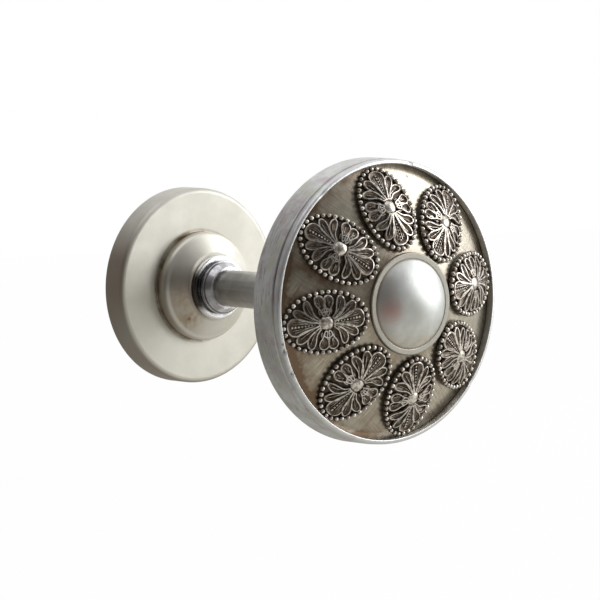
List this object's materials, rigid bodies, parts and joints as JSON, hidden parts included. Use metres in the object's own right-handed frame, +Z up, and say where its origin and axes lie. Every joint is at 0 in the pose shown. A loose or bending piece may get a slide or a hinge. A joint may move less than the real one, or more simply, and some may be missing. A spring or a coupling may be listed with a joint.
{
  "type": "curtain holdback",
  "caption": "Round metal curtain holdback: a wall rose and post carry a rimmed head with oval beaded medallions round a domed boss.",
  "frame": {"origin": "centre of the back, on the wall plane, midway between the two screw holes", "axes": "+Y into the wall, -Y along the post into the room, +Z up, +X to the right seen from the room"},
  "size_m": [0.09, 0.1208, 0.09],
  "materials": {
    "rose_satin": "satin pearl silver",
    "collar_polish": "mirror polish",
    "post_satin": "satin grey",
    "head_satin": "satin grey, lightly scratched",
    "face_antique": "silvered, brushed and antiqued brown",
    "medallion_pewter": "dark oxidised relief with worn bright tops",
    "boss_satin": "satin silver",
    "plain_steel": "zinc plated"
  },
  "bodies": {
    "root": {"mounting_strap": "plain_steel", "wall_stud": "plain_steel", "stud_nuts": "plain_steel", "wall_rose": "rose_satin", "stem_collar": "collar_polish", "post": "post_satin", "head_stud": "plain_steel", "head_pan": "head_satin", "face_plate": "face_antique", "centre_boss": "boss_satin", "medallion_1": "medallion_pewter", "medallion_2": "medallion_pewter", "medallion_3": "medallion_pewter", "medallion_4": "medallion_pewter", "medallion_5": "medallion_pewter", "medallion_6": "medallion_pewter", "medallion_7": "medallion_pewter", "medallion_8": "medallion_pewter"}
  },
  "joints": []
}
